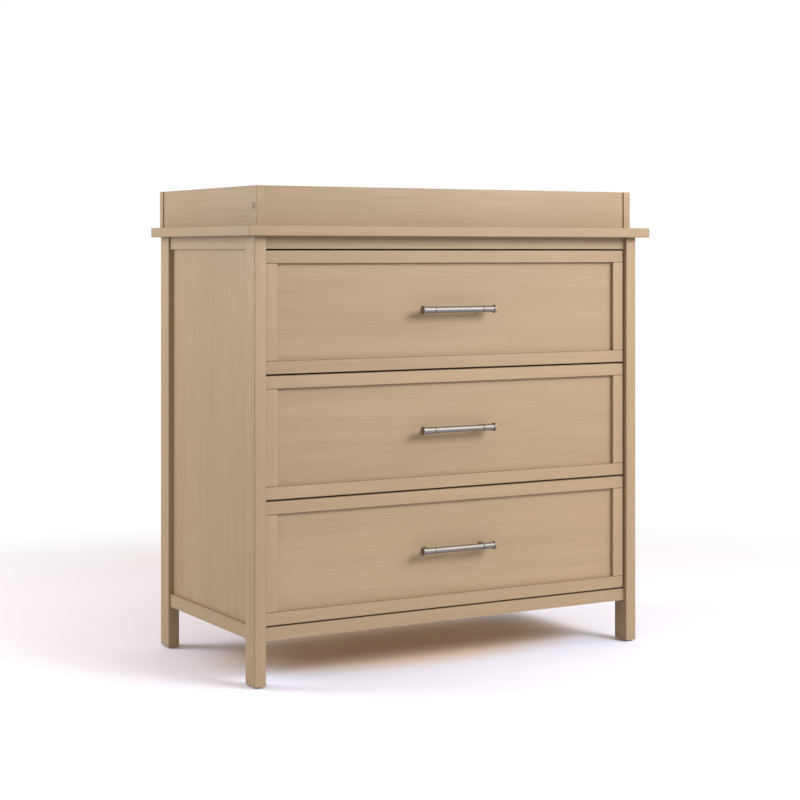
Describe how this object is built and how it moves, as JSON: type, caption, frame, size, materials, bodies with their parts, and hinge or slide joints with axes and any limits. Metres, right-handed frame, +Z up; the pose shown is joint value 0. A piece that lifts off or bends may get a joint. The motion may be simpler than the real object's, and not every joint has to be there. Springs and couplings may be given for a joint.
{
  "type": "changing table",
  "caption": "Wooden changing table: a chest of framed drawers with bar pulls under a low open tray that holds a changing pad.",
  "frame": {"origin": "on the floor, under the centre of the whole object's outline with its drawers shut", "axes": "+Z up; the drawers open towards -Y, so -Y is the front; +X to the right seen from the front"},
  "size_m": [0.916, 0.4876, 0.933],
  "materials": {
    "oak_frame": "pale oak, matt clear lacquer",
    "oak_panel": "pale oak veneer, matt clear lacquer",
    "box_wood": "pale hardwood, sealed",
    "pull_nickel": "satin nickel plate",
    "slide_steel": "bright zinc plate",
    "screw_steel": "nickel and zinc plate",
    "glide_plastic": "off-white moulded plastic"
  },
  "bodies": {
    "cabinet": {"front_left_post": "oak_frame", "front_right_post": "oak_frame", "rear_left_post": "oak_frame", "rear_right_post": "oak_frame", "left_top_rail": "oak_frame", "right_top_rail": "oak_frame", "left_bottom_rail": "oak_frame", "right_bottom_rail": "oak_frame", "left_side_panel": "oak_panel", "right_side_panel": "oak_panel", "front_top_rail": "oak_frame", "front_bottom_rail": "oak_frame", "rear_top_rail": "oak_frame", "rear_bottom_rail": "oak_frame", "back_panel": "oak_panel", "top_slab": "oak_panel", "slide_cleats": "box_wood", "slide_outer_members": "slide_steel", "cabinet_screws": "screw_steel", "anti_tip_brackets": "slide_steel", "foot_glides": "glide_plastic", "topper_front_board": "oak_frame", "topper_back_board": "oak_frame", "topper_left_board": "oak_frame", "topper_right_board": "oak_frame", "topper_bolts": "screw_steel", "topper_lip_screws": "screw_steel"},
    "lower_drawer": {"lower_drawer_front_panel": "oak_panel", "lower_drawer_front_rails": "oak_frame", "lower_drawer_front_stiles": "oak_frame", "lower_drawer_box_ends": "box_wood", "lower_drawer_box_sides": "box_wood", "lower_drawer_box_bottom": "box_wood", "lower_drawer_pull_bar": "pull_nickel", "lower_drawer_pull_ends": "pull_nickel", "lower_drawer_slide_inner_members": "slide_steel", "lower_drawer_screws": "screw_steel"},
    "lower_slide_intermediates": {"lower_drawer_slide_intermediate_members": "slide_steel"},
    "middle_drawer": {"middle_drawer_front_panel": "oak_panel", "middle_drawer_front_rails": "oak_frame", "middle_drawer_front_stiles": "oak_frame", "middle_drawer_box_ends": "box_wood", "middle_drawer_box_sides": "box_wood", "middle_drawer_box_bottom": "box_wood", "middle_drawer_pull_bar": "pull_nickel", "middle_drawer_pull_ends": "pull_nickel", "middle_drawer_slide_inner_members": "slide_steel", "middle_drawer_screws": "screw_steel"},
    "middle_slide_intermediates": {"middle_drawer_slide_intermediate_members": "slide_steel"},
    "upper_drawer": {"upper_drawer_front_panel": "oak_panel", "upper_drawer_front_rails": "oak_frame", "upper_drawer_front_stiles": "oak_frame", "upper_drawer_box_ends": "box_wood", "upper_drawer_box_sides": "box_wood", "upper_drawer_box_bottom": "box_wood", "upper_drawer_pull_bar": "pull_nickel", "upper_drawer_pull_ends": "pull_nickel", "upper_drawer_slide_inner_members": "slide_steel", "upper_drawer_screws": "screw_steel"},
    "upper_slide_intermediates": {"upper_drawer_slide_intermediate_members": "slide_steel"}
  },
  "joints": [
    {"name": "lower_drawer_slide", "type": "slide", "parent": "cabinet", "child": "lower_drawer", "axis": [0, -1, 0], "range_m": [0, 0.4]},
    {"name": "lower_intermediate_slide", "type": "slide", "parent": "cabinet", "child": "lower_slide_intermediates", "axis": [0, -1, 0], "range_m": [0, 0.2]},
    {"name": "middle_drawer_slide", "type": "slide", "parent": "cabinet", "child": "middle_drawer", "axis": [0, -1, 0], "range_m": [0, 0.4]},
    {"name": "middle_intermediate_slide", "type": "slide", "parent": "cabinet", "child": "middle_slide_intermediates", "axis": [0, -1, 0], "range_m": [0, 0.2]},
    {"name": "upper_drawer_slide", "type": "slide", "parent": "cabinet", "child": "upper_drawer", "axis": [0, -1, 0], "range_m": [0, 0.4]},
    {"name": "upper_intermediate_slide", "type": "slide", "parent": "cabinet", "child": "upper_slide_intermediates", "axis": [0, -1, 0], "range_m": [0, 0.2]}
  ],
  "couplings": [
    {"joint": "lower_intermediate_slide", "follows": "lower_drawer_slide", "ratio": 0.5},
    {"joint": "middle_intermediate_slide", "follows": "middle_drawer_slide", "ratio": 0.5},
    {"joint": "upper_intermediate_slide", "follows": "upper_drawer_slide", "ratio": 0.5}
  ]
}
